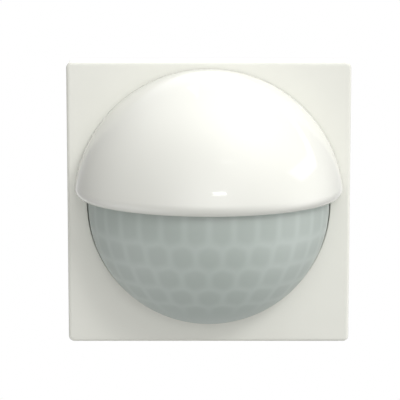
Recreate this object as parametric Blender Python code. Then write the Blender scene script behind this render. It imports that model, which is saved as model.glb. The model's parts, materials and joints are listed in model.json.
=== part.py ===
"""Flush-mounted passive-infrared motion sensor for a 60 mm wall box.

The wall is the plane y = 0. The sensor looks along -Y, +X is to the right as
it is looked at from the front, and +Z is up. A relay insert sits in the wall
behind a steel support ring. The sensor module plugs onto it from the front,
and a hood clips over the module's setting dials.
"""

import math

import bmesh
import bpy
from mathutils import Vector

MM = 0.001  # metres; every length below is in millimetres until object_of scales it

# Driving dimensions
PLATE_SIDE = 70
PLATE_CORNER = 1.4
PLATE_EDGE = 0.8
PLATE_FRONT = -9.0
PLATE_BACK = -0.4
PLATE_WALL = 2.0
SKIRT_WALL = 1.6

LENS_RADIUS = 29.8
LENS_WALL = 1.0
LENS_TOP = 2.4
APERTURE_GAP = 0.3
APERTURE_CHAMFER = 0.15

HOOD_RADIUS = 33.4
HOOD_WALL = 1.8
HOOD_RIM = 1.75  # height of the rim above the middle of the plate
HOOD_FILLET = 2.6
HOOD_LIP_RADIUS = 30.3
HOOD_LIP_HEIGHT = 1.0

RING_SIDE = 66
RING_WALL = 1.2
RING_OPENING = 42
BOX_SCREW_PITCH = 60

INSERT_SIDE = 48
INSERT_CORNER = 14
INSERT_WALL = 1.6
INSERT_DEPTH = 24

GAP = 0.2  # left between pieces that touch
ROUND = 32  # sides of a round piece
SMALL_ROUND = 16

# Depths that the pieces share, measured along Y
APERTURE_RADIUS = LENS_RADIUS + APERTURE_GAP
PLATE_INNER = PLATE_FRONT + PLATE_WALL
FLANGE_FRONT = PLATE_INNER + GAP
FLANGE_BACK = FLANGE_FRONT + 1.1
FRAME_FRONT = FLANGE_BACK + 0.3
FRAME_BACK = FRAME_FRONT + 1.5
MAIN_BOARD_FRONT = -2.4
BOARD_WALL = 1.6
MAIN_BOARD_BACK = MAIN_BOARD_FRONT + BOARD_WALL
PANEL_FRONT = -22.5
PANEL_WALL = 1.5
CONTROL_BOARD_FRONT = -19.3
POWER_BOARD_FRONT = 8.0
POWER_BOARD_BACK = POWER_BOARD_FRONT + BOARD_WALL

# Setting dials and mode switch, on the panel under the hood
DIAL_RADIUS = 2.9
DIAL_HEIGHT = 11.0
DIALS = {"range": -13.0, "time": -4.5, "light": 4.0}
SWITCH_CENTRE = 13.0

# Hooks of the hood, by their angle round the dome, measured from +X
HOOK_ANGLES = (30, 90, 150)
HOOK_RADII = (31.4, 32.6)
HOOK_WIDTH = 5

CORNER_SCREW = 28.5
BOSS_RADIUS = 2.8
PILOT_RADIUS = 1.3
RIVET_SPOTS = [(side * 22.7, height * 10) for side in (-1, 1) for height in (-1, 1)]
RIVET_HOLE = 1.2
LEG_CENTRE = 25.5
PLUG_HEIGHT = -10
PLUG_SIZE = (15, 5)
PIN_HOLE = 1.5
PIN_PITCH = 2.54
PLUG_PINS = [(i - 2) * PIN_PITCH for i in range(5)]
TERMINALS = {"line": -9, "neutral": 0.0, "switched": 9}
TERMINAL_WIDTHS = (-15, 15)
TERMINAL_HEIGHTS = (-20, -8.5)
WIRE_HEIGHT = -16.5
WIRE_RADIUS = 1.6
BUTTON_HEIGHT = -11.5
BUTTON_TRAVEL = 1.2

# Colour, roughness and metallic value of each material
MATERIALS = {
    "plate_white": ((0.80, 0.80, 0.75), 0.25, 0.0),
    "hood_white": ((0.86, 0.86, 0.83), 0.15, 0.0),
    "lens_milky": ((0.50, 0.55, 0.53), 0.35, 0.0),
    "inner_white": ((0.78, 0.78, 0.76), 0.45, 0.0),
    "dark_plastic": ((0.05, 0.05, 0.055), 0.5, 0.0),
    "grey_plastic": ((0.42, 0.43, 0.44), 0.5, 0.0),
    "orange_plastic": ((0.85, 0.30, 0.05), 0.45, 0.0),
    "board_green": ((0.03, 0.22, 0.10), 0.4, 0.0),
    "steel": ((0.62, 0.62, 0.62), 0.35, 1.0),
    "tin": ((0.75, 0.74, 0.70), 0.3, 1.0),
    "copper": ((0.80, 0.45, 0.25), 0.3, 1.0),
    "filter_black": ((0.02, 0.02, 0.03), 0.1, 0.0),
    "capacitor_blue": ((0.04, 0.08, 0.25), 0.35, 0.0),
    "film_yellow": ((0.75, 0.55, 0.08), 0.4, 0.0),
    "clear_resin": ((0.80, 0.85, 0.88), 0.1, 0.0),
    "red_resin": ((0.70, 0.05, 0.04), 0.15, 0.0),
}


# ---------------------------------------------------------------- helpers


def clear_scene():
    for obj in list(bpy.data.objects):
        bpy.data.objects.remove(obj)


def material(name):
    found = bpy.data.materials.get(name)
    if found:
        return found
    colour, roughness, metallic = MATERIALS[name]
    made = bpy.data.materials.new(name)
    made.use_nodes = True
    shader = made.node_tree.nodes["Principled BSDF"]
    shader.inputs["Base Color"].default_value = (*colour, 1.0)
    shader.inputs["Roughness"].default_value = roughness
    shader.inputs["Metallic"].default_value = metallic
    return made


def body_empty(name, parent=None, location=(0, 0, 0)):
    """An empty that carries the pieces of one rigid body, with its origin on the body's axis."""
    empty = bpy.data.objects.new(name, None)
    empty.empty_display_size = 5 * MM
    bpy.context.scene.collection.objects.link(empty)
    empty.parent = parent
    empty.location = Vector(location) * MM
    return empty


def object_of(name, mesh_builder, finish, parent=None, location=(0, 0, 0)):
    """The named object that a bmesh becomes, with outward normals and one material."""
    bmesh.ops.remove_doubles(mesh_builder, verts=mesh_builder.verts, dist=1e-3)
    bmesh.ops.scale(mesh_builder, vec=(MM, MM, MM), verts=mesh_builder.verts)
    bmesh.ops.recalc_face_normals(mesh_builder, faces=mesh_builder.faces)
    mesh = bpy.data.meshes.new(name)
    mesh_builder.to_mesh(mesh)
    mesh_builder.free()
    mesh.materials.append(material(finish))
    obj = bpy.data.objects.new(name, mesh)
    bpy.context.scene.collection.objects.link(obj)
    obj.parent = parent
    obj.location = Vector(location) * MM
    return obj


def smooth(obj, angle=35):
    obj.data.shade_smooth()
    obj.data.set_sharp_from_angle(angle=math.radians(angle))
    return obj


def loft(name, sections, finish, **placing):
    """A solid through rings of points that all hold the same number of points."""
    shape = bmesh.new()
    rings = [[shape.verts.new(point) for point in section] for section in sections]
    count = len(rings[0])
    for ring, following in zip(rings, rings[1:]):
        for i in range(count):
            j = (i + 1) % count
            shape.faces.new((ring[i], ring[j], following[j], following[i]))
    shape.faces.new(rings[0])
    shape.faces.new(rings[-1])
    return object_of(name, shape, finish, **placing)


def prism(name, outline, front, back, finish, **placing):
    """A solid whose (x, z) outline is extruded along Y from front to back."""
    sections = [[(x, y, z) for x, z in outline] for y in (front, back)]
    return loft(name, sections, finish, **placing)


def upright_prism(name, outline, low, high, finish, **placing):
    """A solid whose (x, y) outline is extruded along Z from low to high."""
    sections = [[(x, y, z) for x, y in outline] for z in (low, high)]
    return loft(name, sections, finish, **placing)


def block(name, x_range, y_range, z_range, finish, **placing):
    outline = [(x_range[0], z_range[0]), (x_range[1], z_range[0]),
               (x_range[1], z_range[1]), (x_range[0], z_range[1])]
    return prism(name, outline, y_range[0], y_range[1], finish, **placing)


def centred_block(name, centre, size, y_range, finish, **placing):
    """A block by its (x, z) centre and size."""
    spans = [(c - s / 2, c + s / 2) for c, s in zip(centre, size)]
    return block(name, spans[0], y_range, spans[1], finish, **placing)


def rounded_square(side, corner, steps=4):
    """The (x, z) outline of a square with round corners, centred on the origin."""
    points = []
    inner = side / 2 - corner
    for quarter, (sx, sz) in enumerate([(1, 1), (-1, 1), (-1, -1), (1, -1)]):
        for i in range(steps + 1):
            turn = math.radians(90 * quarter + 90 * i / steps)
            points.append((sx * inner + corner * math.cos(turn), sz * inner + corner * math.sin(turn)))
    return points


def arc(radius, start, end, steps):
    """Points of an arc about the origin, with angles in degrees."""
    turns = [math.radians(start + (end - start) * i / steps) for i in range(steps + 1)]
    return [(radius * math.cos(t), radius * math.sin(t)) for t in turns]


def rod(name, centre, radius, front, back, finish, sides=SMALL_ROUND, **placing):
    """A cylinder along Y with its axis through the (x, z) centre."""
    outline = [(centre[0] + x, centre[1] + z) for x, z in arc(radius, 0, 360, sides)[:-1]]
    return prism(name, outline, front, back, finish, **placing)


def turned(name, profile, finish, centre=(0, 0), sides=SMALL_ROUND, **placing):
    """A solid turned about Y from a profile of (radius, y) points; both ends are flat."""
    sections = []
    for radius, y in profile:
        ring = arc(radius, 0, 360, sides)[:-1]
        sections.append([(centre[0] + x, y, centre[1] + z) for x, z in ring])
    return loft(name, sections, finish, **placing)


def half_turned(name, profile, finish, steps, tail=None, **placing):
    """A closed (radius, z) profile swept half a turn about Z, in front of the plate.

    With a tail, the flat back of the sweep is carried straight on to that y.
    """
    shape = bmesh.new()
    rings = []
    for i in range(steps + 1):
        turn = math.pi * i / steps
        rings.append([shape.verts.new((r * math.cos(turn), -r * math.sin(turn), z)) for r, z in profile])
    if tail is not None:
        rings.insert(0, [shape.verts.new((r, tail, z)) for r, z in profile])
        rings.append([shape.verts.new((-r, tail, z)) for r, z in profile])
    count = len(profile)
    for ring, following in zip(rings, rings[1:]):
        for i in range(count):
            j = (i + 1) % count
            if profile[i][0] > 0 or profile[j][0] > 0:
                shape.faces.new((ring[i], ring[j], following[j], following[i]))
    shape.faces.new(rings[0])
    shape.faces.new(rings[-1])
    bmesh.ops.dissolve_degenerate(shape, edges=shape.edges, dist=1e-4)
    return object_of(name, shape, finish, **placing)


def boolean(target, tools, operation):
    """Applies exact Booleans to the target and removes the tools."""
    for tool in tools:
        modifier = target.modifiers.new(operation, "BOOLEAN")
        modifier.operation = operation
        modifier.solver = "EXACT"
        modifier.object = tool
    bpy.context.view_layer.update()
    graph = bpy.context.evaluated_depsgraph_get()
    result = bpy.data.meshes.new_from_object(target.evaluated_get(graph))
    target.modifiers.clear()
    target.data = result
    for tool in tools:
        bpy.data.objects.remove(tool)
    return target


def join(target, *tools):
    return boolean(target, tools, "UNION")


def cut(target, *tools):
    return boolean(target, tools, "DIFFERENCE")


# ------------------------------------------------------- front of the sensor


def hook_block(name, angle, radii, width, y_range, finish):
    """A block standing across the radius at an angle round the dome."""
    turn = math.radians(angle)
    out, along = Vector((math.cos(turn), math.sin(turn))), Vector((-math.sin(turn), math.cos(turn)))
    corners = [out * r + along * w for r, w in ((radii[0], -width / 2), (radii[1], -width / 2),
                                                (radii[1], width / 2), (radii[0], width / 2))]
    return prism(name, [tuple(c) for c in corners], y_range[0], y_range[1], finish)


def corner_spots():
    return [(sx * CORNER_SCREW, sz * CORNER_SCREW) for sx in (-1, 1) for sz in (-1, 1)]


def cover_plate(module):
    edge_steps = 4
    sections = []
    for i in range(edge_steps + 1):
        turn = math.radians(90 * i / edge_steps)
        inset = PLATE_EDGE * (1 - math.sin(turn))
        y = PLATE_FRONT + PLATE_EDGE * (1 - math.cos(turn))
        outline = rounded_square(PLATE_SIDE - 2 * inset, PLATE_CORNER - inset)
        sections.append([(x, y, z) for x, z in outline])
    sections.append([(x, PLATE_BACK, z) for x, z in rounded_square(PLATE_SIDE, PLATE_CORNER)])
    plate = loft("cover_plate", sections, "plate_white", parent=module)

    inside = PLATE_SIDE - 2 * SKIRT_WALL
    inner_corner = PLATE_CORNER - PLATE_EDGE
    cavity = prism("cavity", rounded_square(inside, inner_corner, 2), PLATE_INNER, 5, "plate_white")
    cut(plate, cavity)
    bosses = [rod("boss", spot, BOSS_RADIUS, PLATE_INNER - 1, FLANGE_BACK, "plate_white")
              for spot in corner_spots()]
    join(plate, *bosses)
    mouth = [(APERTURE_RADIUS + 2 * APERTURE_CHAMFER, PLATE_FRONT - APERTURE_CHAMFER),
             (APERTURE_RADIUS, PLATE_FRONT + APERTURE_CHAMFER), (APERTURE_RADIUS, 1)]
    aperture = turned("aperture", mouth, "plate_white", sides=2 * ROUND)
    play = 0.3
    slot_radii = (HOOK_RADII[0] - play, HOOK_RADII[1] + play)
    slots = [hook_block("slot", angle, slot_radii, HOOK_WIDTH + 2 * play, (PLATE_FRONT - 1, 0), "plate_white")
             for angle in HOOK_ANGLES]
    skin = 0.7
    pilots = [rod("pilot", spot, PILOT_RADIUS, PLATE_FRONT + skin, 0, "plate_white", 12)
              for spot in corner_spots()]
    cut(plate, aperture, *slots, *pilots)
    return smooth(plate)


def hood_profile():
    """(radius, z) section of the hood: outer arc, rounded rim, inward lip, inner arc."""
    arc_steps, rim_steps = 14, 5
    centre_z = HOOD_RIM + HOOD_FILLET
    centre_r = math.sqrt((HOOD_RADIUS - HOOD_FILLET) ** 2 - centre_z**2)
    rim_start = math.degrees(math.atan2(centre_z, centre_r))
    outer = arc(HOOD_RADIUS, 90, rim_start, arc_steps)
    rim = [(centre_r + r, centre_z + z) for r, z in arc(HOOD_FILLET, rim_start, -90, rim_steps)[1:]]
    lip_top = HOOD_RIM + HOOD_LIP_HEIGHT
    inner_radius = HOOD_RADIUS - HOOD_WALL
    inner_start = math.degrees(math.asin((lip_top + 1.6) / inner_radius))
    lip = [(HOOD_LIP_RADIUS, HOOD_RIM), (HOOD_LIP_RADIUS, lip_top)]
    outer[0] = (0, HOOD_RADIUS)
    inner = arc(inner_radius, inner_start, 90, arc_steps - 2)
    inner[-1] = (0, inner_radius)
    return outer + rim + lip + inner


def hood(empty):
    shell = half_turned("hood", hood_profile(), "hood_white", 40, parent=empty,
                        location=(0, PLATE_FRONT - GAP, 0))
    spans = (PLATE_FRONT - 2.5, FLANGE_BACK - GAP)
    hooks = [hook_block("hook", angle, HOOK_RADII, HOOK_WIDTH, spans, "hood_white") for angle in HOOK_ANGLES]
    join(shell, *hooks)
    return smooth(shell)


def lens(module):
    """The lower quarter of a sphere, with a straight tail through the plate and a flange behind it."""
    steps = 16
    inner_radius = LENS_RADIUS - LENS_WALL
    outer_start = math.degrees(math.asin(LENS_TOP / LENS_RADIUS))
    inner_start = math.degrees(math.asin(LENS_TOP / inner_radius))
    outer = arc(LENS_RADIUS, outer_start, -90, steps)
    outer[-1] = (0, -LENS_RADIUS)
    inner = arc(inner_radius, -90, inner_start, steps)
    inner[0] = (0, -inner_radius)
    tail = FLANGE_BACK - 0.3 - PLATE_FRONT
    flange_radius = LENS_RADIUS + 2.6
    dome = half_turned("lens", outer + inner, "lens_milky", 40, tail=tail, parent=module,
                       location=(0, PLATE_FRONT, 0))
    middle = LENS_RADIUS - LENS_WALL / 2
    flange_end = math.degrees(math.asin(LENS_TOP / middle)) - 0.5
    outline = (arc(flange_radius, flange_end, -180 - flange_end, 36)
               + arc(middle, -180 - flange_end, flange_end, 36))
    join(dome, prism("flange", outline, FLANGE_FRONT, FLANGE_BACK, "lens_milky"))
    return smooth(dome)


def control_housing(module):
    """Closes the top of the lens and carries the panel of dials that the hood hides."""
    floor = LENS_TOP + 0.3
    floor_wall = 1.2
    shelf_radius = LENS_RADIUS - 0.5
    shelf = [(x, PLATE_FRONT - y) for x, y in arc(shelf_radius, 0, 180, 40)]
    shelf += [(-shelf_radius, FLANGE_FRONT), (shelf_radius, FLANGE_FRONT)]
    housing = upright_prism("control_housing", shelf, floor, floor + floor_wall, "inner_white", parent=module)

    half, top = 19, 19
    tower = block("tower", (-half, half), (PANEL_FRONT, FLANGE_BACK - 0.4), (floor + 0.5, top), "inner_white")
    flange_radius = HOOK_RADII[0] - 0.8
    start = math.degrees(math.asin((floor + 0.2) / flange_radius))
    flange = prism("flange", arc(flange_radius, start, 180 - start, 32), FLANGE_FRONT - 0.1, FLANGE_BACK,
                   "inner_white")
    join(housing, tower, flange)
    inner_half = half - PANEL_WALL
    cavity = block("cavity", (-inner_half, inner_half), (PANEL_FRONT + PANEL_WALL, 0),
                   (floor + floor_wall, top - PANEL_WALL), "inner_white")
    through_panel = (PANEL_FRONT - 1, PANEL_FRONT + 2 * PANEL_WALL)
    windows = [rod("window", (x, DIAL_HEIGHT), DIAL_RADIUS + 0.3, *through_panel, "inner_white", ROUND)
               for x in DIALS.values()]
    windows.append(centred_block("window", (SWITCH_CENTRE, DIAL_HEIGHT), (7.6, 2.6), through_panel,
                                 "inner_white"))
    cut(housing, cavity, *windows)
    return smooth(housing)


def dial(name, x, module):
    """A screwdriver-slotted rotor with a pointer notch, modelled on its own axis."""
    empty = body_empty(f"{name}_dial_axis", module, (x, PANEL_FRONT, DIAL_HEIGHT))
    proud, edge = 0.7, 0.3
    profile = [(DIAL_RADIUS - edge, -proud), (DIAL_RADIUS, edge - proud), (DIAL_RADIUS, PANEL_WALL)]
    rotor = turned(f"{name}_dial", profile, "grey_plastic", sides=ROUND, parent=empty)
    slot = centred_block("slot", (0, 0), (0.8, 4), (-2, 0.4), "grey_plastic", parent=empty)
    pointer = prism("pointer", [(-0.9, 1.4), (0.9, 1.4), (0, 2.6)], -2, 0.1, "grey_plastic", parent=empty)
    cut(rotor, slot, pointer)
    return smooth(rotor)


def mode_slider(module):
    """A ribbed knob that a fingernail moves sideways."""
    empty = body_empty("mode_slider_axis", module, (SWITCH_CENTRE, PANEL_FRONT, DIAL_HEIGHT))
    proud, groove = 1.3, 0.3
    knob = centred_block("mode_slider", (0, 0), (3, 2), (-proud, PANEL_WALL), "dark_plastic", parent=empty)
    grooves = [centred_block("groove", (x, 0), (0.35, 3), (-2, groove - proud), "dark_plastic", parent=empty)
               for x in (-0.8, 0, 0.8)]
    cut(knob, *grooves)
    return knob


# ------------------------------------------------------------- sensor module


def module_frame(module):
    """The chassis behind the plate: it holds lens and housing and has two snap legs."""
    frame = prism("module_frame", rounded_square(62.4, 2, 2), FRAME_FRONT, FRAME_BACK, "inner_white",
                  parent=module)
    leg_end = 4
    legs = [centred_block("leg", (side * LEG_CENTRE, 0), (1.4, 6), (FRAME_BACK - 0.5, leg_end), "inner_white")
            for side in (-1, 1)]
    join(frame, *legs)
    opening = rod("opening", (0, 0), 26, FRAME_FRONT - 1, FRAME_BACK + 1, "inner_white", 48)
    holes = [rod("hole", spot, PILOT_RADIUS, FRAME_FRONT - 1, FRAME_BACK + 1, "inner_white", 12)
             for spot in corner_spots()]
    cut(frame, opening, *holes)
    return smooth(frame)


def corner_screws(module):
    """Four cross-head screws that draw the frame up to the plate's bosses."""
    shank, head_radius, edge = 1.0, 2.2, 0.4
    tip = PLATE_FRONT + 1.0
    head_front, head_back = FRAME_BACK + GAP, FRAME_BACK + 1.6
    profile = [(0.6, tip), (shank, tip + 0.5), (shank, head_front), (head_radius, head_front),
               (head_radius, head_back - edge), (head_radius - 0.5, head_back)]
    for i, spot in enumerate(corner_spots(), start=1):
        screw = turned(f"corner_screw_{i}", profile, "steel", spot, parent=module)
        drive = [centred_block("drive", spot, size, (head_back - 0.8, head_back + 1), "steel")
                 for size in ((2.4, 0.6), (0.6, 2.4))]
        cut(screw, *drive)
        smooth(screw)


def main_board(module):
    """The sensor's board with its controller and its smoothing capacitor."""
    board = prism("main_board", rounded_square(37, 4.5, 3), MAIN_BOARD_FRONT, MAIN_BOARD_BACK, "board_green",
                  parent=module)
    through = (MAIN_BOARD_FRONT - 1, MAIN_BOARD_BACK + 1)
    holes = [rod("hole", (sx * 15, sz * 15), 1.1, *through, "board_green", 10)
             for sx in (-1, 1) for sz in (-1, 1)]
    cut(board, *holes)
    chip_front = MAIN_BOARD_BACK + GAP
    centred_block("microcontroller", (-6, 7), (9, 9), (chip_front, chip_front + 1.2), "dark_plastic",
                  parent=module)
    foot, radius, height, edge = MAIN_BOARD_FRONT - GAP, 3.1, 8, 0.5
    profile = [(radius - edge, foot - height), (radius, foot - height + edge), (radius, foot)]
    smooth(turned("smoothing_capacitor", profile, "capacitor_blue", (12.5, 12), 20, parent=module))


def dome_profile(radius, base, tip):
    """A round-nosed lamp body along Y, from its nose back to a wider rim."""
    steps, rim_wall, rim_width, blunt = 5, 1.0, 0.4, 0.05
    turns = [math.radians(90 * i / steps) for i in range(steps + 1)]
    nose = [(radius * math.sin(turn) + blunt, tip + radius * (1 - math.cos(turn))) for turn in turns]
    rim = radius + rim_width
    return nose + [(radius + blunt, base - rim_wall), (rim, base - rim_wall), (rim, base)]


def indicator_lamps(module):
    """The light sensor and the test lamp look out through the lens."""
    foot, height, level = MAIN_BOARD_FRONT - GAP, 8, -14.5
    for name, x, radius, finish in (("light_sensor", -5, 2.3, "clear_resin"),
                                    ("status_lamp", 5, 1.4, "red_resin")):
        profile = dome_profile(radius, foot, foot - height)
        smooth(turned(name, profile, finish, (x, level), parent=module))


def infrared_head(module):
    """A wedge-shaped holder with a pyroelectric sensor on each flank, near the centre of the dome."""
    flank, half = math.radians(40), 11.5
    base, wall = MAIN_BOARD_FRONT - GAP, 1.4
    low, high = -10.5, 1.5
    nose = base - half * math.tan(flank)
    wedge = [(-half, base), (half, base), (0, nose)]
    holder = upright_prism("sensor_holder", wedge, low, high, "dark_plastic", parent=module)
    depth = wall / math.cos(flank)
    inner = [(-half + 2 * depth, base + 1), (half - 2 * depth, base + 1), (0, nose + depth)]
    cut(holder, upright_prism("hollow", inner, low + wall, high - wall, "dark_plastic"))

    can_radius, rim_radius, rim_wall, face, edge = 4.2, 4.6, 0.8, -4.2, 0.3
    profile = [(can_radius - edge, face), (can_radius, face + edge), (can_radius, -GAP - rim_wall),
               (rim_radius, -GAP - rim_wall), (rim_radius, -GAP)]
    lead_spots = ((-1.8, 1.8), (1.8, 1.8), (0, -PIN_PITCH))
    middle = Vector((half / 2, (base + nose) / 2, (low + high) / 2))
    for name, side in (("left", -1), ("right", 1)):
        seat = body_empty(f"{name}_sensor_seat", module, (side * middle.x, middle.y, middle.z))
        seat.rotation_euler = (0, 0, side * flank)
        can = turned(f"{name}_infrared_sensor", profile, "tin", sides=24, parent=seat)
        leads = [rod("lead", spot, 0.3, -GAP - rim_wall / 2, 2.6, "tin", 6, parent=seat)
                 for spot in lead_spots]
        join(can, *leads)
        recess = centred_block("recess", (0, 0), (5.2, 4.2), (face - 1, face + 0.8), "tin", parent=seat)
        cut(can, recess)
        smooth(can)
        centred_block(f"{name}_infrared_window", (0, 0), (4.6, 3.6), (face + 0.2, face + 0.6), "filter_black",
                      parent=seat)
        holes = [rod("hole", spot, 0.7, -1.5, 4, "dark_plastic", 8, parent=seat) for spot in lead_spots]
        cut(holder, *holes)


def control_board(module):
    """The board behind the dials, with the parts that they turn and its link to the main board."""
    back = CONTROL_BOARD_FRONT + BOARD_WALL
    centred_block("control_board", (0, 10.8), (34.4, 12.8), (CONTROL_BOARD_FRONT, back), "board_green",
                  parent=module)
    spans = (PANEL_FRONT + PANEL_WALL + GAP, CONTROL_BOARD_FRONT - GAP)
    for name, x in DIALS.items():
        centred_block(f"{name}_trimmer", (x, DIAL_HEIGHT), (6.6, 6.6), spans, "dark_plastic", parent=module)
    centred_block("mode_switch", (SWITCH_CENTRE, DIAL_HEIGHT), (8.4, 4.4), spans, "tin", parent=module)

    height, pins, pin, strip_wall = 7.5, 6, 0.64, 2.5
    strip_back = MAIN_BOARD_FRONT - GAP
    link = centred_block("board_link", (0, height), (pins * PIN_PITCH, 2.4),
                         (strip_back - strip_wall, strip_back), "tin", parent=module)
    posts = [centred_block("post", ((i - (pins - 1) / 2) * PIN_PITCH, height), (pin, pin),
                           (back + GAP, strip_back - strip_wall / 2), "tin") for i in range(pins)]
    join(link, *posts)


def plug(module):
    """The shroud and the row of pins that reach into the socket of the insert."""
    shroud = centred_block("module_plug", (0, PLUG_HEIGHT), PLUG_SIZE, (0.1, 4.6), "dark_plastic",
                           parent=module)
    cut(shroud, *[centred_block("hole", (x, PLUG_HEIGHT), (PIN_HOLE, PIN_HOLE), (-1, 6), "dark_plastic")
                  for x in PLUG_PINS])
    pin, pin_end = 0.8, 7.4
    comb_back = -0.1
    comb = centred_block("plug_pins", (0, PLUG_HEIGHT), (12, 1.2), (MAIN_BOARD_BACK + GAP, comb_back),
                         "copper", parent=module)
    join(comb, *[centred_block("pin", (x, PLUG_HEIGHT), (pin, pin), (comb_back - 0.3, pin_end), "copper")
                 for x in PLUG_PINS])


def module_rear_cover(module):
    """A tray that closes the main board in, small enough to pass through the support ring."""
    outer, corner, wall, back = 41, 7, 1.2, 3.2
    tray = prism("module_rear_cover", rounded_square(outer, corner, 5), FRAME_BACK + GAP, back, "inner_white",
                 parent=module)
    cavity = prism("cavity", rounded_square(outer - 2 * wall, corner - wall, 5), FRAME_BACK - 1, back - wall,
                   "inner_white")
    through_back = (back - 2 * wall, back + 1)
    window = centred_block("window", (0, PLUG_HEIGHT), [side + 0.6 for side in PLUG_SIZE], through_back,
                           "inner_white")
    vents = [centred_block("vent", (x, 10), (1.4, 9), through_back, "inner_white") for x in range(-12, 13, 4)]
    cut(tray, cavity, window, *vents)
    return smooth(tray)


# -------------------------------------------------------------- wall insert


def oblong(centre, width, length, upright):
    """An (x, z) outline with round ends."""
    straight = (length - width) / 2
    half = arc(width / 2, -90, 90, 5)
    points = [(x + straight, z) for x, z in half] + [(-x - straight, -z) for x, z in half]
    if upright:
        points = [(-z, x) for x, z in points]
    return [(centre[0] + x, centre[1] + z) for x, z in points]


def support_ring(root):
    """Stamped steel ring that two screws hold to the wall box."""
    ring = prism("support_ring", rounded_square(RING_SIDE, 6, 3), -RING_WALL, 0, "steel", parent=root)
    through = (-RING_WALL - 1, 1)
    tools = [prism("opening", rounded_square(RING_OPENING, 4, 3), *through, "steel")]
    pitch = BOX_SCREW_PITCH / 2
    slot_width, slot_length = 3.6, 7
    for side in (-1, 1):
        upright = oblong((side * pitch, 0), slot_width, slot_length, True)
        level = oblong((0, side * pitch), slot_width, slot_length, False)
        tools += [prism("slot", outline, *through, "steel") for outline in (upright, level)]
        tools.append(centred_block("leg_slot", (side * LEG_CENTRE, 0), (2.2, 6.8), through, "steel"))
    tools += [rod("rivet_hole", spot, RIVET_HOLE, *through, "steel", 12) for spot in RIVET_SPOTS]
    tools += [rod("corner_hole", (sx * 27, sz * 27), 1.6, *through, "steel")
              for sx in (-1, 1) for sz in (-1, 1)]
    cut(ring, *tools)
    return ring


def ring_fasteners(root):
    """The rivets that hold the insert to the ring, and the screws that hold the ring to the box."""
    seat = -RING_WALL - GAP
    shank, head_radius, shank_end = 0.9, 1.6, 3.6
    profile = [(shank, seat - 0.6), (head_radius, seat - 0.3), (head_radius, seat), (shank, seat),
               (shank, shank_end)]
    for i, spot in enumerate(RIVET_SPOTS, start=1):
        smooth(turned(f"ring_rivet_{i}", profile, "steel", spot, 12, parent=root))

    shank, head_radius, head_wall, shank_end = 1.5, 2.7, 1.6, 15
    profile = [(head_radius - 0.9, seat - head_wall), (head_radius, seat - 1), (head_radius, seat),
               (shank, seat), (shank, shank_end), (0.8, shank_end + 1)]
    for name, side in (("left", -1), ("right", 1)):
        spot = (side * BOX_SCREW_PITCH / 2, 0)
        screw = turned(f"{name}_box_screw", profile, "steel", spot, parent=root)
        cut(screw, centred_block("drive", spot, (0.8, 6), (seat - 3, seat - head_wall / 2), "steel"))
        smooth(screw)


def insert_housing(root):
    """The round-cornered pot that stands in the wall box."""
    front = 0.3
    outer = rounded_square(INSERT_SIDE, INSERT_CORNER, 7)
    inner = rounded_square(INSERT_SIDE - 2 * INSERT_WALL, INSERT_CORNER - INSERT_WALL, 7)
    pot = prism("insert_housing", outer, front, INSERT_DEPTH, "grey_plastic", parent=root)
    cut(pot, prism("cavity", inner, -5, INSERT_DEPTH - INSERT_WALL, "grey_plastic"))
    half, boss_end = 1.9, 5.0
    bosses = []
    for x, z in RIVET_SPOTS:
        side = math.copysign(1, x)
        spans = sorted((side * 20.9, side * (INSERT_SIDE / 2 - INSERT_WALL / 2)))
        bosses.append(block("boss", spans, (front, boss_end), (z - half, z + half), "grey_plastic"))
    join(pot, *bosses)
    tools = [rod("rivet_hole", spot, RIVET_HOLE, -5, boss_end - 1, "grey_plastic", 12)
             for spot in RIVET_SPOTS]
    spans = [(low - 0.4, high + 0.4) for low, high in (TERMINAL_WIDTHS, TERMINAL_HEIGHTS)]
    tools.append(block("terminal_window", spans[0], (INSERT_DEPTH - 2 * INSERT_WALL, INSERT_DEPTH + 2),
                       spans[1], "grey_plastic"))
    cut(pot, *tools)
    return smooth(pot)


def insert_cover(root):
    """The lid over the power board, and the socket that the module plugs into."""
    side = INSERT_SIDE - 2 * INSERT_WALL - 0.6
    lid_front, lid_wall = 5.4, 1.4
    lid = prism("insert_cover", rounded_square(side, INSERT_CORNER - INSERT_WALL - 0.3, 6),
                lid_front, lid_front + lid_wall, "dark_plastic", parent=root)
    cut(lid, centred_block("window", (0, PLUG_HEIGHT), [side + 1 for side in PLUG_SIZE], (4, 8),
                           "dark_plastic"))
    socket = centred_block("insert_socket", (0, PLUG_HEIGHT), PLUG_SIZE, (4.9, POWER_BOARD_FRONT - GAP),
                           "inner_white", parent=root)
    cut(socket, *[centred_block("hole", (x, PLUG_HEIGHT), (PIN_HOLE, PIN_HOLE), (4, 9), "inner_white")
                  for x in PLUG_PINS])


def soft_edges(obj, width=0.5):
    """Breaks the edges of a moulded box with a narrow bevel."""
    bevel = obj.modifiers.new("edges", "BEVEL")
    bevel.width = width * MM
    bevel.segments = 1


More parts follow.
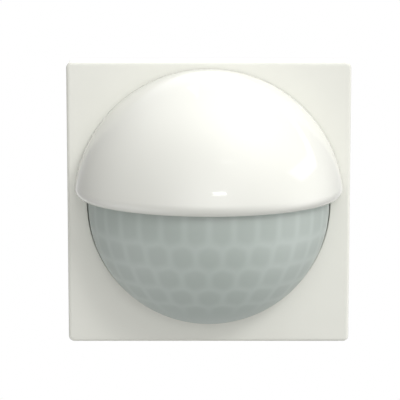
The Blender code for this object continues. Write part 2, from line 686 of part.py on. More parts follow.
def power_board(root):
    """The mains board, with the relay, the dropper capacitor and the parts that protect them."""
    prism("power_board", rounded_square(43, 11.5, 5), POWER_BOARD_FRONT, POWER_BOARD_BACK, "board_green",
          parent=root)
    foot = POWER_BOARD_BACK + GAP
    soft_edges(block("relay", (-19, 1), (foot, 20.4), (-6.8, 6), "dark_plastic", parent=root))
    soft_edges(block("film_capacitor", (3, 16.5), (foot, 19.6), (-5.6, 1.2), "film_yellow", parent=root))

    radius, end, edge = 4.1, 20.8, 0.4
    profile = [(radius, foot), (radius, end - edge), (radius - edge, end)]
    smooth(turned("storage_capacitor", profile, "capacitor_blue", (10, 9.5), 24, parent=root))

    flange, core, flange_wall, end = 3.6, 2.4, 1.4, 18.4
    profile = [(flange, foot), (flange, foot + flange_wall), (core, foot + flange_wall),
               (core, end - flange_wall), (flange, end - flange_wall), (flange, end)]
    smooth(turned("suppression_choke", profile, "copper", (-0.5, 13.5), 20, parent=root))

    disc = [[(x, 15 + u, 13 + v) for u, v in arc(4.5, 0, 360, 20)[:-1]] for x in (-10.8, -7.6)]
    smooth(loft("varistor", disc, "capacitor_blue", parent=root))


def terminals(root):
    """Three push-in terminals, each with a contact and a button that lets the wire go."""
    front, back = 11.5, INSERT_DEPTH - 0.1
    contact_end = 17
    body = block("terminal_block", TERMINAL_WIDTHS, (front, back), TERMINAL_HEIGHTS, "grey_plastic",
                 parent=root)
    tools = []
    for x in TERMINALS.values():
        tools.append(rod("entry", (x, WIRE_HEIGHT), WIRE_RADIUS, contact_end - 2, back + 1, "grey_plastic"))
        tools.append(centred_block("well", (x, BUTTON_HEIGHT), (4.6, 3.4), (back - 5.6, back + 1),
                                   "grey_plastic"))
        tools.append(centred_block("pocket", (x, WIRE_HEIGHT), (5, 5), (front - 1, contact_end),
                                   "grey_plastic"))
    cut(body, *tools)

    groove = 0.4
    for name, x in TERMINALS.items():
        clamp = centred_block(f"{name}_contact", (x, WIRE_HEIGHT - 1.9), (3.6, 0.6),
                              (POWER_BOARD_BACK + GAP, contact_end - 0.6), "copper", parent=root)
        spring = centred_block("spring", (x, WIRE_HEIGHT - 0.2), (3, 3.6), (12.4, 13.0), "copper")
        join(clamp, spring)
        empty = body_empty(f"{name}_button_axis", root, (x, back, BUTTON_HEIGHT))
        key = centred_block(f"{name}_release_button", (0, 0), (4.0, 2.8), (-3.9, BUTTON_TRAVEL),
                            "orange_plastic", parent=empty)
        cut(key, centred_block("groove", (0, 0), (2.4, 0.7), (BUTTON_TRAVEL - groove, BUTTON_TRAVEL + 1),
                               "orange_plastic", parent=empty))


def main():
    clear_scene()
    root = body_empty("insert_body")
    module = body_empty("module_body", root)
    hood_empty = body_empty("hood_body", module)

    cover_plate(module)
    hood(hood_empty)
    lens(module)
    control_housing(module)
    for name, x in DIALS.items():
        dial(name, x, module)
    mode_slider(module)

    module_frame(module)
    corner_screws(module)
    main_board(module)
    indicator_lamps(module)
    infrared_head(module)
    control_board(module)
    plug(module)
    module_rear_cover(module)

    support_ring(root)
    ring_fasteners(root)
    insert_housing(root)
    insert_cover(root)
    power_board(root)
    terminals(root)


main()
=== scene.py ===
"""Looks of the flush-mounted motion sensor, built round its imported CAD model.

The hood, the cover plate and the lens get fine meshes of their own. The rounded
CAD parts get a smoothly shaded shell of the same shape, and every other node
keeps its CAD mesh. Each has a procedural material. Lengths are in millimetres
until a mesh is made.
"""

import json
import math

import bmesh
import bpy
from mathutils import Euler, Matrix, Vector
from mathutils.kdtree import KDTree


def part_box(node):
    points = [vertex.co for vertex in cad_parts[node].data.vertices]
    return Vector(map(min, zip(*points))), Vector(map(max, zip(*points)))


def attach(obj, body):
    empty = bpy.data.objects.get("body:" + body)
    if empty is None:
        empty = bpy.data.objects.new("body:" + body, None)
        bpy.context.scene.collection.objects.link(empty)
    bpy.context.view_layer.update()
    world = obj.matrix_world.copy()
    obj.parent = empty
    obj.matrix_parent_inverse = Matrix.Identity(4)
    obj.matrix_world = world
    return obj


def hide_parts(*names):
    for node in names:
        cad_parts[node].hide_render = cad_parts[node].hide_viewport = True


MM = 0.001

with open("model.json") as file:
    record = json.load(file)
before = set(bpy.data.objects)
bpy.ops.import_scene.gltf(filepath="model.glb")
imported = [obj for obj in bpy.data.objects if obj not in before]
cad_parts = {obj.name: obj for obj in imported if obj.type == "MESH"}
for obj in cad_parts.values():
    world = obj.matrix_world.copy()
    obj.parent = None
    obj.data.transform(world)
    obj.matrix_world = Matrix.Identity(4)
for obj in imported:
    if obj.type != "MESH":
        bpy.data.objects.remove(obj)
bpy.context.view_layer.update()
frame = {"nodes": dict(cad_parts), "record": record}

# ------------------------------------------------------- sizes from the frame

plate_low, plate_high = (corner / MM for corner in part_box("cover_plate"))
lens_low, lens_high = (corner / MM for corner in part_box("lens"))
hood_low, hood_high = (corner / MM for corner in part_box("hood"))

PLATE_FRONT = plate_low.y
PLATE_BACK = plate_high.y
PLATE_SIDE = plate_high.x - plate_low.x
LENS_RADIUS = PLATE_FRONT - lens_low.y
LENS_TOP = lens_high.z
FLANGE_BACK = lens_high.y
FLANGE_RADIUS = lens_high.x
HOOD_RIM = hood_low.z
HOOD_RADIUS = hood_high.z
HOOD_BACK = PLATE_FRONT - 0.2
HOOK_END = hood_high.y

PLATE_CORNER = 1.4
PLATE_EDGE = 0.8
PLATE_WALL = 2.0
SKIRT_WALL = 1.6
APERTURE_RADIUS = LENS_RADIUS + 0.3
APERTURE_CHAMFER = 0.15
CORNER_SCREW = 28.5  # from the middle of the plate, across and up
BOSS_RADIUS = 2.8
PILOT_RADIUS = 1.3
HOOK_PLAY = 0.3  # round a hook in its slot in the plate
HOOD_WALL = 1.8
HOOD_FILLET = 2.6
HOOD_LIP_RADIUS = 30.3
HOOD_LIP_HEIGHT = 1.0
HOOK_ANGLES = (30, 90, 150)
HOOK_RADII = (31.4, 32.6)
HOOK_WIDTH = 5.0
LENS_WALL = 1.0
FLANGE_WALL = 1.1
RIDGE = 0.3  # how far the inside of the lens stands out between its cells
HOLLOW = 0.03  # how far the outside of a cell sinks in

# CAD parts whose round corners or edges show, and get a smooth shell
SMOOTHED = ("insert_housing", "module_rear_cover", "control_housing", "left_box_screw",
            "right_box_screw", "range_dial", "time_dial", "light_dial")

# Rows of lens cells: degrees below level, width of a cell in degrees, and whether
# a cell rather than the edge between two cells faces straight ahead
CELL_ROWS = ((4.8, 11.25, False), (16.5, 12.6, True), (28.7, 14.2, False), (40.4, 16.5, True),
             (52.2, 19.5, False), (64, 26, True), (76, 45, False))
CELL_LINE = 1.5  # half the width of the soft line between two cells
CELL_ROUNDING = 0.35  # the greater, the rounder the corners of a cell
LINE_TONE = 0.75
CELL_TOP_SHADE = 0.1  # painted shade: rise of the tone towards the top of a cell, for each millimetre, as if each cell were lit from above
CELL_FADE = (46, 58)  # degrees below level between which the cells melt into the foot
FOOT_SHADE = (56, 84)  # painted shade: degrees below level between which the foot gets darker

# Broad lamps of the studio: azimuth from the front to the right, elevation, strength
SOFT_LAMPS = ((0, 5, 2.0), (60, 60, 1.6), (90, -20, 2.2), (-90, -42, 1.8), (-120, 60, 0.7),
              (0, 90, 1.0), (180, 30, 1.6), (180, -20, 1.4))
LAMP_SPREAD = 0.35

CAMERA_DISTANCE = 500
CAMERA_ELEVATION = 9
CAMERA_TARGET = (-2.15, PLATE_FRONT, 0.87)
FLOOR_HEIGHT = -1500
FLOOR_HALF_SIDE = 4000


# -------------------------------------------------------------- mesh helpers


def piece(name, shape, body, finish, smooth_angle=35):
    """The named piece that a bmesh in millimetres becomes, riding on a CAD body."""
    bmesh.ops.remove_doubles(shape, verts=shape.verts, dist=1e-3)
    bmesh.ops.recalc_face_normals(shape, faces=shape.faces)
    bmesh.ops.scale(shape, vec=(MM, MM, MM), verts=shape.verts)
    mesh = bpy.data.meshes.new(name)
    shape.to_mesh(mesh)
    shape.free()
    mesh.shade_smooth()
    mesh.set_sharp_from_angle(angle=math.radians(smooth_angle))
    if finish:
        mesh.materials.append(finish)
    made = bpy.data.objects.new(name, mesh)
    bpy.context.scene.collection.objects.link(made)
    if body:
        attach(made, body)
    return made


def lofted(sections):
    """A closed bmesh through rings of points that all hold the same number of points."""
    shape = bmesh.new()
    rings = [[shape.verts.new(point) for point in section] for section in sections]
    count = len(rings[0])
    for ring, following in zip(rings, rings[1:]):
        for i in range(count):
            j = (i + 1) % count
            shape.faces.new((ring[i], ring[j], following[j], following[i]))
    shape.faces.new(rings[0])
    shape.faces.new(rings[-1])
    return shape


def arc(radius, start, end, steps):
    """Points of an arc about the origin, with angles in degrees."""
    turns = [math.radians(start + (end - start) * i / steps) for i in range(steps + 1)]
    return [(radius * math.cos(turn), radius * math.sin(turn)) for turn in turns]


def rounded_square(side, corner, steps):
    """The (x, z) outline of a square with round corners, centred on the origin."""
    inner = side / 2 - corner
    points = []
    for quarter, (sx, sz) in enumerate(((1, 1), (-1, 1), (-1, -1), (1, -1))):
        quarter_arc = arc(corner, 90 * quarter, 90 * quarter + 90, steps)
        points += [(sx * inner + x, sz * inner + z) for x, z in quarter_arc]
    return points


def prism(outline, front, back):
    """A closed bmesh whose (x, z) outline is extruded along Y."""
    return lofted([[(x, y, z) for x, z in outline] for y in (front, back)])


def turned(profile, centre, sides):
    """A closed bmesh turned about Y from a profile of (radius, y) points."""
    sections = []
    for radius, y in profile:
        ring = arc(radius, 0, 360, sides)[:-1]
        sections.append([(centre[0] + x, y, centre[1] + z) for x, z in ring])
    return lofted(sections)


def half_turned(profile, centre_y, steps, tail=None):
    """A closed (radius, z) profile swept half a turn about Z, in front of centre_y.

    With a tail, the flat back of the sweep is carried straight on to that y.
    """
    shape = bmesh.new()
    rings = []
    for i in range(steps + 1):
        turn = math.pi * i / steps
        across, out = math.cos(turn), math.sin(turn)
        rings.append([shape.verts.new((r * across, centre_y - r * out, z)) for r, z in profile])
    if tail is not None:
        rings.insert(0, [shape.verts.new((r, tail, z)) for r, z in profile])
        rings.append([shape.verts.new((-r, tail, z)) for r, z in profile])
    count = len(profile)
    for ring, following in zip(rings, rings[1:]):
        for i in range(count):
            j = (i + 1) % count
            if profile[i][0] > 0 or profile[j][0] > 0:
                shape.faces.new((ring[i], ring[j], following[j], following[i]))
    shape.faces.new(rings[0])
    shape.faces.new(rings[-1])
    bmesh.ops.dissolve_degenerate(shape, edges=shape.edges, dist=1e-4)
    return shape


def combine(target, shapes, operation):
    """Joins or cuts a piece with closed bmeshes, which are used up."""
    tools = []
    for shape in shapes:
        tool = piece("tool", shape, None, None)
        tools.append(tool)
        modifier = target.modifiers.new(operation, "BOOLEAN")
        modifier.operation = operation
        modifier.solver = "EXACT"
        modifier.object = tool
    bpy.context.view_layer.update()
    graph = bpy.context.evaluated_depsgraph_get()
    target.data = bpy.data.meshes.new_from_object(target.evaluated_get(graph))
    target.modifiers.clear()
    for tool in tools:
        bpy.data.objects.remove(tool)
    target.data.set_sharp_from_angle(angle=math.radians(35))
    return target


def hook_block(angle, radii, width, y_range):
    """A closed bmesh standing across the radius at an angle round the dome."""
    turn = math.radians(angle)
    out = Vector((math.cos(turn), math.sin(turn)))
    along = Vector((-math.sin(turn), math.cos(turn)))
    inner, outer = radii
    half = width / 2
    corners = [(inner, -half), (outer, -half), (outer, half), (inner, half)]
    return prism([tuple(out * r + along * w) for r, w in corners], *y_range)


# ----------------------------------------------------------------- materials


def new_material(name):
    """A material with its node tree, its Principled shader and a node maker."""
    made = bpy.data.materials.new(name)
    made.use_nodes = True
    tree = made.node_tree
    shader = tree.nodes["Principled BSDF"]

    def node(kind, **inputs):
        added = tree.nodes.new(kind)
        for key, value in inputs.items():
            added.inputs[key].default_value = value
        return added

    return made, tree, shader, node


def ramp(node, low, high, start, end):
    """A colour ramp between two colours or greys, at two places."""
    added = node("ShaderNodeValToRGB")
    for element, place, colour in zip(added.color_ramp.elements, (start, end), (low, high)):
        element.position = place
        element.color = (*colour, 1) if isinstance(colour, tuple) else (colour, colour, colour, 1)
    return added


def plastic(name, colour, shade, roughness, spread, grain, bump):
    """Moulded plastic: cloudy colour, slightly uneven gloss and a fine skin."""
    made, tree, shader, node = new_material(name)
    place = node("ShaderNodeTexCoord")
    cloud = node("ShaderNodeTexNoise", Scale=90.0, Detail=3.0)
    skin = node("ShaderNodeTexNoise", Scale=grain, Detail=2.0)
    tint = ramp(node, shade, colour, 0.3, 0.7)
    gloss = ramp(node, roughness - spread, roughness + spread, 0.3, 0.7)
    relief = node("ShaderNodeBump", Strength=bump, Distance=0.00005)
    for noise in (cloud, skin):
        tree.links.new(place.outputs["Object"], noise.inputs["Vector"])
    tree.links.new(cloud.outputs["Fac"], tint.inputs["Fac"])
    tree.links.new(cloud.outputs["Fac"], gloss.inputs["Fac"])
    tree.links.new(skin.outputs["Fac"], relief.inputs["Height"])
    tree.links.new(tint.outputs["Color"], shader.inputs["Base Color"])
    tree.links.new(gloss.outputs["Color"], shader.inputs["Roughness"])
    tree.links.new(relief.outputs["Normal"], shader.inputs["Normal"])
    shader.inputs["IOR"].default_value = 1.5
    return made


def metal(name, colour, shade, roughness, spread):
    """Plated or bare metal with fine brushing and slight tarnish."""
    made, tree, shader, node = new_material(name)
    place = node("ShaderNodeTexCoord")
    stretch = node("ShaderNodeMapping", Scale=(1.0, 12.0, 1.0))
    brush = node("ShaderNodeTexNoise", Scale=700.0, Detail=2.0)
    tarnish = node("ShaderNodeTexNoise", Scale=160.0, Detail=4.0)
    tint = ramp(node, shade, colour, 0.35, 0.65)
    gloss = ramp(node, roughness - spread, roughness + spread, 0.3, 0.7)
    relief = node("ShaderNodeBump", Strength=0.2, Distance=0.00003)
    tree.links.new(place.outputs["Object"], stretch.inputs["Vector"])
    tree.links.new(stretch.outputs["Vector"], brush.inputs["Vector"])
    tree.links.new(place.outputs["Object"], tarnish.inputs["Vector"])
    tree.links.new(tarnish.outputs["Fac"], tint.inputs["Fac"])
    tree.links.new(brush.outputs["Fac"], gloss.inputs["Fac"])
    tree.links.new(brush.outputs["Fac"], relief.inputs["Height"])
    tree.links.new(tint.outputs["Color"], shader.inputs["Base Color"])
    tree.links.new(gloss.outputs["Color"], shader.inputs["Roughness"])
    tree.links.new(relief.outputs["Normal"], shader.inputs["Normal"])
    shader.inputs["Metallic"].default_value = 1.0
    return made


def lens_plastic():
    """Milky polyethylene: each cell is darker in its middle and lighter along its edges, with painted shade
    that makes each cell lighter towards its top and the foot of the dome darker.
    """
    made, tree, shader, node = new_material("lens_plastic")
    cells = node("ShaderNodeAttribute")
    cells.attribute_name = "cell_and_shade_tone"
    place = node("ShaderNodeTexCoord")
    cloud = node("ShaderNodeTexNoise", Scale=120.0, Detail=3.0)
    skin = node("ShaderNodeTexNoise", Scale=2500.0, Detail=2.0)
    soft = node("ShaderNodeMath")
    soft.operation = "MULTIPLY_ADD"
    soft.inputs[1].default_value = 0.08
    soft.inputs[2].default_value = 0.46
    total = node("ShaderNodeMath")
    total.operation = "MULTIPLY_ADD"
    total.inputs[1].default_value = 0.5
    # the dark end is reached where painted shade darkens the foot of the dome
    tint = ramp(node, (0.390, 0.441, 0.407), (0.520, 0.572, 0.538), 0.0, 1.0)
    relief = node("ShaderNodeBump", Strength=0.25, Distance=0.00003)
    for noise in (cloud, skin):
        tree.links.new(place.outputs["Object"], noise.inputs["Vector"])
    tree.links.new(cloud.outputs["Fac"], soft.inputs[0])
    tree.links.new(cells.outputs["Fac"], total.inputs[0])
    tree.links.new(soft.outputs["Value"], total.inputs[2])
    tree.links.new(total.outputs["Value"], tint.inputs["Fac"])
    tree.links.new(tint.outputs["Color"], shader.inputs["Base Color"])
    tree.links.new(skin.outputs["Fac"], relief.inputs["Height"])
    tree.links.new(relief.outputs["Normal"], shader.inputs["Normal"])
    shader.inputs["Roughness"].default_value = 0.5
    shader.inputs["IOR"].default_value = 1.5
    shader.inputs["Subsurface Weight"].default_value = 0.5
    shader.inputs["Subsurface Radius"].default_value = (1.0, 1.1, 1.0)
    shader.inputs["Subsurface Scale"].default_value = 1.5 * MM
    return made


def resin(name, colour):
    """Clear or tinted epoxy."""
    made, tree, shader, node = new_material(name)
    place = node("ShaderNodeTexCoord")
    cloud = node("ShaderNodeTexNoise", Scale=300.0, Detail=2.0)
    tint = ramp(node, tuple(0.85 * c for c in colour), colour, 0.3, 0.7)
    tree.links.new(place.outputs["Object"], cloud.inputs["Vector"])
    tree.links.new(cloud.outputs["Fac"], tint.inputs["Fac"])
    tree.links.new(tint.outputs["Color"], shader.inputs["Base Color"])
    shader.inputs["Roughness"].default_value = 0.08
    shader.inputs["Transmission Weight"].default_value = 0.6
    return made


PLATE_PLASTIC = plastic("plate_plastic", (0.80, 0.80, 0.735), (0.785, 0.785, 0.72), 0.24, 0.03, 900, 0.05)
HOOD_PLASTIC = plastic("hood_plastic", (0.82, 0.82, 0.765), (0.81, 0.81, 0.755), 0.06, 0.01, 700, 0.02)
LENS_PLASTIC = lens_plastic()
FINISHES = {
    "plate_white": PLATE_PLASTIC,
    "hood_white": HOOD_PLASTIC,
    "lens_milky": LENS_PLASTIC,
    "inner_white": plastic("inner_plastic", (0.76, 0.76, 0.73), (0.70, 0.70, 0.67), 0.42, 0.06, 2600, 0.5),
    "dark_plastic": plastic("dark_plastic", (0.035, 0.036, 0.04), (0.022, 0.023, 0.026), 0.45, 0.08,
                            2600, 0.5),
    "grey_plastic": plastic("grey_plastic", (0.36, 0.37, 0.38), (0.31, 0.32, 0.33), 0.48, 0.07, 2200, 0.6),
    "orange_plastic": plastic("orange_plastic", (0.82, 0.25, 0.03), (0.72, 0.20, 0.02), 0.38, 0.05,
                              2200, 0.4),
    "board_green": plastic("solder_mask", (0.02, 0.17, 0.07), (0.012, 0.12, 0.05), 0.3, 0.08, 1500, 0.7),
    "steel": metal("zinc_steel", (0.50, 0.51, 0.52), (0.40, 0.41, 0.42), 0.36, 0.08),
    "tin": metal("tinned_metal", (0.76, 0.75, 0.72), (0.66, 0.65, 0.62), 0.28, 0.06),
    "copper": metal("copper_alloy", (0.80, 0.48, 0.28), (0.62, 0.34, 0.18), 0.3, 0.08),
    "filter_black": plastic("filter_glass", (0.03, 0.012, 0.02), (0.02, 0.008, 0.014), 0.08, 0.02, 900, 0.05),
    "capacitor_blue": plastic("blue_sleeve", (0.03, 0.07, 0.26), (0.02, 0.05, 0.2), 0.3, 0.05, 900, 0.2),
    "film_yellow": plastic("yellow_box", (0.75, 0.5, 0.06), (0.66, 0.43, 0.05), 0.35, 0.05, 1500, 0.3),
    "clear_resin": resin("clear_resin", (0.85, 0.88, 0.90)),
    "red_resin": resin("red_resin", (0.75, 0.04, 0.03)),
}


def finish_cad_nodes():
    """Gives each CAD node the procedural material of its slot."""
    for entry in frame["record"]["subparts"]:
        node = frame["nodes"][entry["node"]]
        node.data.materials.clear()
        node.data.materials.append(FINISHES[entry["material_slot"]])


def smooth_shells():
    """Pieces in the shape of the rounded CAD parts, shaded smooth across their round corners."""
    owner = {name: body for body, names in frame["record"]["behaviour"]["bodies"].items() for name in names}
    slots = {entry["node"]: entry["material_slot"] for entry in frame["record"]["subparts"]}
    for name in SMOOTHED:
        finish = FINISHES[slots[name]]
        shape = bmesh.new()
        shape.from_mesh(frame["nodes"][name].data)
        bmesh.ops.scale(shape, vec=(1 / MM, 1 / MM, 1 / MM), verts=shape.verts)
        bmesh.ops.remove_doubles(shape, verts=shape.verts, dist=1e-3)
        bmesh.ops.dissolve_limit(shape, angle_limit=math.radians(0.5), verts=shape.verts, edges=shape.edges)
        shell = piece(name + "_shell", shape, owner[name], finish, smooth_angle=28)
        weighting = shell.modifiers.new("weighting", "WEIGHTED_NORMAL")
        weighting.keep_sharp = True
        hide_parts(name)


# ---------------------------------------------------------------------- lens


def cell_centres():
    """The middle of every lens cell on the dome, as unit vectors from the dome's centre."""
    centres = []
    for below, width, centred in CELL_ROWS:
        start = 0 if centred else width / 2
        steps = math.ceil(90 / width) + 1
        for i in range(-steps, steps):
            azimuth, drop = math.radians(start + i * width), math.radians(below)
            centres.append(Vector((math.sin(azimuth) * math.cos(drop), -math.cos(azimuth) * math.cos(drop),
                                   -math.sin(drop))))
    return centres


def cell_and_shade_tone(direction, tree, centres):
    """Tone of a dome point: 1 on the edge of its lens cell, near 0 inside it, -1 at the dome's foot. Painted
    shade raises it towards the top of each cell and lowers it at the foot.
    """
    below = math.degrees(math.asin(-direction.z))
    (_, nearest, _), *others = tree.find_n(direction, 7)
    own = centres[nearest]
    nearness = 0
    for _, other, _ in others:
        apart = own - centres[other]
        margin = LENS_RADIUS * direction.dot(apart) / apart.length
        nearness += math.exp(-margin / CELL_ROUNDING)
    rise = min(max(1 + CELL_ROUNDING * math.log(nearness) / CELL_LINE, 0), 1)
    # painted shade: each cell gets lighter towards its top
    height = LENS_RADIUS * (direction.z - own.z)
    top_shade = CELL_TOP_SHADE * max(height, 0)
    fade = min(max((CELL_FADE[1] - below) / (CELL_FADE[1] - CELL_FADE[0]), 0), 1)
    # painted shade: the foot of the dome darkens towards the plate
    foot_shade = min(max((below - FOOT_SHADE[0]) / (FOOT_SHADE[1] - FOOT_SHADE[0]), 0), 1)
    return fade * min(LINE_TONE * rise * rise * (3 - 2 * rise) + top_shade, 1) - foot_shade * foot_shade


def build_lens():
    """Lower quarter of a sphere with a straight tail, a flange and rows of lens cells."""
    inner_radius = LENS_RADIUS - LENS_WALL
    outer = arc(LENS_RADIUS, math.degrees(math.asin(LENS_TOP / LENS_RADIUS)), -90, 100)
    inner = arc(inner_radius, -90, math.degrees(math.asin(LENS_TOP / inner_radius)), 60)
    outer[-1] = (0, -LENS_RADIUS)
    inner[0] = (0, -inner_radius)
    shape = half_turned(outer + inner, PLATE_FRONT, 200, tail=FLANGE_BACK - 0.3)
    lens = piece("lens_dome", shape, "sensor_module", LENS_PLASTIC)
    middle = LENS_RADIUS - LENS_WALL / 2
    end = math.degrees(math.asin(LENS_TOP / middle)) - 0.5
    rim = arc(FLANGE_RADIUS, end, -180 - end, 90) + arc(middle, -180 - end, end, 90)
    combine(lens, [prism(rim, FLANGE_BACK - FLANGE_WALL, FLANGE_BACK)], "UNION")

    centres = cell_centres()
    tree = KDTree(len(centres))
    for i, centre in enumerate(centres):
        tree.insert(centre, i)
    tree.balance()
    # the tone holds the cell pattern together with painted shade
    tones = lens.data.attributes.new("cell_and_shade_tone", "FLOAT", "POINT")
    dome_centre = Vector((0, PLATE_FRONT, 0))
    for i, vertex in enumerate(lens.data.vertices):
        offset = vertex.co / MM - dome_centre
        on_dome = offset.length > inner_radius - 0.05 and offset.y < -0.5 and offset.z < LENS_TOP - 0.5
        tone = cell_and_shade_tone(offset.normalized(), tree, centres) if on_dome else 0
        tones.data[i].value = tone
        line = max(tone, 0)
        relief = HOLLOW * (1 - line) if offset.length > LENS_RADIUS - 0.05 else RIDGE * line
        if on_dome:
            vertex.co -= offset.normalized() * relief * MM
    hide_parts("lens")
    return lens


# ---------------------------------------------------------------------- hood


def build_hood():
    """Upper quarter of a sphere with a round rim, an inward lip and three hooks."""
    centre_z = HOOD_RIM + HOOD_FILLET
    centre_r = math.sqrt((HOOD_RADIUS - HOOD_FILLET) ** 2 - centre_z**2)
    start = math.degrees(math.atan2(centre_z, centre_r))
    outer = arc(HOOD_RADIUS, 90, start, 70)
    outer[0] = (0, HOOD_RADIUS)
    rim = [(centre_r + r, centre_z + z) for r, z in arc(HOOD_FILLET, start, -90, 16)[1:]]
    inner_radius = HOOD_RADIUS - HOOD_WALL
    lip_top = HOOD_RIM + HOOD_LIP_HEIGHT
    lip = [(HOOD_LIP_RADIUS + 0.1, HOOD_RIM), (HOOD_LIP_RADIUS, HOOD_RIM + 0.1), (HOOD_LIP_RADIUS, lip_top)]
    inner = arc(inner_radius, math.degrees(math.asin((lip_top + 1.6) / inner_radius)), 90, 40)
    inner[-1] = (0, inner_radius)
    shape = half_turned(outer + rim + lip + inner, HOOD_BACK, 160)
    hood = piece("hood_shell", shape, "hood", HOOD_PLASTIC)
    spans = (PLATE_FRONT - 2.5, HOOK_END)
    hooks = [hook_block(angle, HOOK_RADII, HOOK_WIDTH, spans) for angle in HOOK_ANGLES]
    combine(hood, hooks, "UNION")
    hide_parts("hood")
    return hood


# --------------------------------------------------------------- cover plate


def build_plate():
    """Square plate with a rounded front edge, a chamfered opening and a skirt."""
    steps = 8
    sections = []
    for i in range(steps + 1):
        turn = math.radians(90 * i / steps)
        inset = PLATE_EDGE * (1 - math.sin(turn))
        y = PLATE_FRONT + PLATE_EDGE * (1 - math.cos(turn))
        outline = rounded_square(PLATE_SIDE - 2 * inset, PLATE_CORNER - inset, 10)
        sections.append([(x, y, z) for x, z in outline])
    square = rounded_square(PLATE_SIDE, PLATE_CORNER, 10)
    sections.append([(x, PLATE_BACK, z) for x, z in square])
    plate = piece("plate_shell", lofted(sections), "sensor_module", PLATE_PLASTIC)

    inner = PLATE_FRONT + PLATE_WALL
    cavity = prism(rounded_square(PLATE_SIDE - 2 * SKIRT_WALL, 0.6, 4), inner, 5)
    combine(plate, [cavity], "DIFFERENCE")
    spots = [(sx * CORNER_SCREW, sz * CORNER_SCREW) for sx in (-1, 1) for sz in (-1, 1)]
    boss = [(BOSS_RADIUS, inner - 1), (BOSS_RADIUS, FLANGE_BACK)]
    bosses = [turned(boss, spot, 40) for spot in spots]
    combine(plate, bosses, "UNION")
    chamfer = APERTURE_CHAMFER
    opening = turned([(APERTURE_RADIUS + 2 * chamfer, PLATE_FRONT - chamfer),
                      (APERTURE_RADIUS, PLATE_FRONT + chamfer), (APERTURE_RADIUS, 1)], (0, 0), 360)
    slot_radii = (HOOK_RADII[0] - HOOK_PLAY, HOOK_RADII[1] + HOOK_PLAY)
    slot_width = HOOK_WIDTH + 2 * HOOK_PLAY
    slots = [hook_block(angle, slot_radii, slot_width, (PLATE_FRONT - 1, 0)) for angle in HOOK_ANGLES]
    pilot = [(PILOT_RADIUS, PLATE_FRONT + 0.7), (PILOT_RADIUS, 0)]
    pilots = [turned(pilot, spot, 24) for spot in spots]
    combine(plate, [opening, *slots, *pilots], "DIFFERENCE")
    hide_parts("cover_plate")
    return plate


# -------------------------------------------------- camera, light, backdrop


def aim(thing, target):
    """Turns a camera or lamp towards a point."""
    direction = Vector(target) - thing.location
    thing.rotation_mode = "QUATERNION"
    thing.rotation_quaternion = direction.to_track_quat("-Z", "Y")


def add_camera():
    """The photograph's view: half a metre away, nine degrees above level."""
    elevation = math.radians(CAMERA_ELEVATION)
    target = Vector(CAMERA_TARGET) * MM
    distance = CAMERA_DISTANCE * MM
    data = bpy.data.cameras.new("camera")
    data.sensor_width = 36
    data.lens = 181.8
    camera = bpy.data.objects.new("camera", data)
    camera.location = target + distance * Vector((0, -math.cos(elevation), math.sin(elevation)))
    aim(camera, target)
    bpy.context.scene.collection.objects.link(camera)
    bpy.context.scene.camera = camera


def area_light(name, place, target, size, power):
    """A rectangular lamp, with its place, target and size in metres and its power in watts."""
    data = bpy.data.lights.new(name, "AREA")
    data.shape = "RECTANGLE"
    data.size, data.size_y = size
    data.energy = power
    light = bpy.data.objects.new(name, data)
    light.location = place
    aim(light, target)
    bpy.context.scene.collection.objects.link(light)
    return light


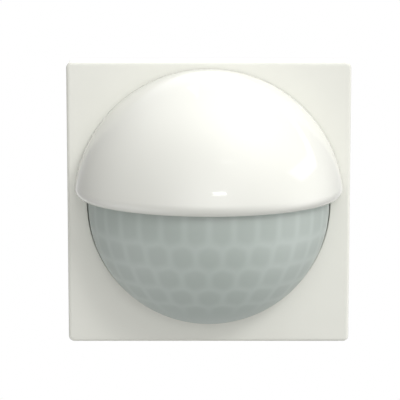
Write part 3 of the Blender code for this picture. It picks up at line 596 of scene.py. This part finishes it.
def add_world():
    """Broad soft lamps all round the object, on a backdrop that the camera sees as white."""
    world = bpy.data.worlds.new("studio")
    world.use_nodes = True
    bpy.context.scene.world = world
    tree = world.node_tree
    tree.nodes.clear()

    def maths(operation, *values):
        added = tree.nodes.new("ShaderNodeMath")
        added.operation = operation
        for socket, value in zip(added.inputs, values):
            if isinstance(value, bpy.types.NodeSocket):
                tree.links.new(value, socket)
            else:
                socket.default_value = value
        return added.outputs["Value"]

    sky = tree.nodes.new("ShaderNodeTexCoord").outputs["Generated"]
    total = 0.0
    narrow = 1 / LAMP_SPREAD**2
    for azimuth, elevation, strength in SOFT_LAMPS:
        across, up = math.radians(azimuth), math.radians(elevation)
        dot = tree.nodes.new("ShaderNodeVectorMath")
        dot.operation = "DOT_PRODUCT"
        dot.inputs[1].default_value = (math.sin(across) * math.cos(up), -math.cos(across) * math.cos(up),
                                       math.sin(up))
        tree.links.new(sky, dot.inputs[0])
        falloff = maths("MULTIPLY_ADD", dot.outputs["Value"], narrow, -narrow)
        total = maths("MULTIPLY_ADD", maths("EXPONENT", falloff), strength, total)

    output = tree.nodes.new("ShaderNodeOutputWorld")
    mix = tree.nodes.new("ShaderNodeMixShader")
    path = tree.nodes.new("ShaderNodeLightPath")
    lamps, white = (tree.nodes.new("ShaderNodeBackground") for _ in range(2))
    tree.links.new(total, lamps.inputs["Strength"])
    for background in (lamps, white):
        background.inputs["Color"].default_value = (1, 1, 1, 1)
    tree.links.new(path.outputs["Is Camera Ray"], mix.inputs[0])
    tree.links.new(lamps.outputs[0], mix.inputs[1])
    tree.links.new(white.outputs[0], mix.inputs[2])
    tree.links.new(mix.outputs[0], output.inputs["Surface"])


def add_lights():
    """A panel overhead and its slanted reflection, a key light and a strip that glints on the hood."""
    panel = area_light("overhead_softbox", (1.1, -0.05, 1.0), (1.1, -0.05, 0), (2.4, 1.9), 8)
    panel.visible_glossy = False
    glint = area_light("overhead_reflection", (1.96, 0.31, 1.0), (1.96, 0.31, 0), (4.0, 1.9), 40)
    glint.rotation_quaternion = Euler((0, 0, math.radians(14))).to_quaternion()
    glint.visible_diffuse = False
    key = area_light("key_light", (0.46, -0.893, 0.656), (0, 0, 0), (0.25, 0.25), 2.6)
    key.visible_glossy = False
    area_light("catch_light", (0.146, -0.943, 0.292), (0.002, -0.042, 0.008), (0.19, 0.042), 0.25)


def add_floor():
    """A plain white floor, well below the object; its bounced light is left to the lamps."""
    shape = bmesh.new()
    bmesh.ops.create_grid(shape, x_segments=8, y_segments=8, size=FLOOR_HALF_SIDE)
    bmesh.ops.translate(shape, verts=shape.verts, vec=(0, 0, FLOOR_HEIGHT))
    finish = plastic("floor_paint", (0.93, 0.93, 0.93), (0.92, 0.92, 0.92), 0.9, 0.03, 40, 0.1)
    shader = finish.node_tree.nodes["Principled BSDF"]
    shader.inputs["Emission Color"].default_value = (1, 1, 1, 1)
    shader.inputs["Emission Strength"].default_value = 0.8
    floor = piece("floor", shape, None, finish)
    for ray in ("visible_diffuse", "visible_glossy", "visible_transmission", "visible_shadow"):
        setattr(floor, ray, False)


def main():
    """Makes the finished object and its studio."""
    bpy.context.scene.view_settings.view_transform = "Standard"
    finish_cad_nodes()
    smooth_shells()
    build_plate()
    build_lens()
    build_hood()
    add_world()
    add_lights()
    add_floor()
    add_camera()


main()
